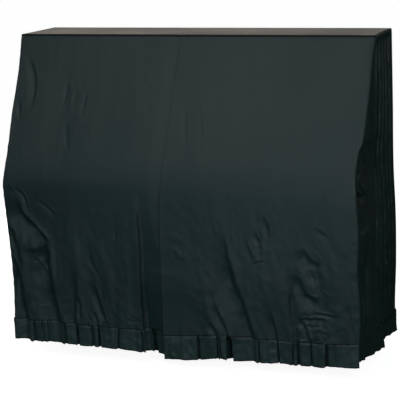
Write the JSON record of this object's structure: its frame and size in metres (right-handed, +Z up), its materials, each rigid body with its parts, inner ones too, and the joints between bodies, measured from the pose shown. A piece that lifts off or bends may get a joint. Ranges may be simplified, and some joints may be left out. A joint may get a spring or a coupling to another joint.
{
  "type": "piano cover",
  "caption": "Full-length fitted cloth cover for an upright piano, open below, lapped front opening, gathered end and pleated skirt.",
  "frame": {"origin": "centre of the flat underside of the top panel, where it rests on the piano's lid", "axes": "+Z up, +X along the keyboard to the treble end, -Y towards the player; the cloth hangs below the origin"},
  "size_m": [1.5489, 0.5839, 1.3015],
  "materials": {
    "top_panel": "soft sheen plain weave",
    "front_left": "soft sheen plain weave",
    "front_right": "soft sheen plain weave",
    "side_left": "soft sheen plain weave",
    "side_right": "soft sheen plain weave",
    "back_panel": "soft sheen plain weave",
    "skirt_front_left": "soft sheen plain weave",
    "skirt_front_right": "soft sheen plain weave",
    "skirt_left": "soft sheen plain weave",
    "skirt_right": "soft sheen plain weave",
    "skirt_back": "soft sheen plain weave"
  },
  "bodies": {
    "root": {"top_panel": "top_panel", "front_left": "front_left", "front_right": "front_right", "side_left": "side_left", "side_right": "side_right", "back_panel": "back_panel", "skirt_front_left": "skirt_front_left", "skirt_front_right": "skirt_front_right", "skirt_left": "skirt_left", "skirt_right": "skirt_right", "skirt_back": "skirt_back"}
  },
  "joints": []
}
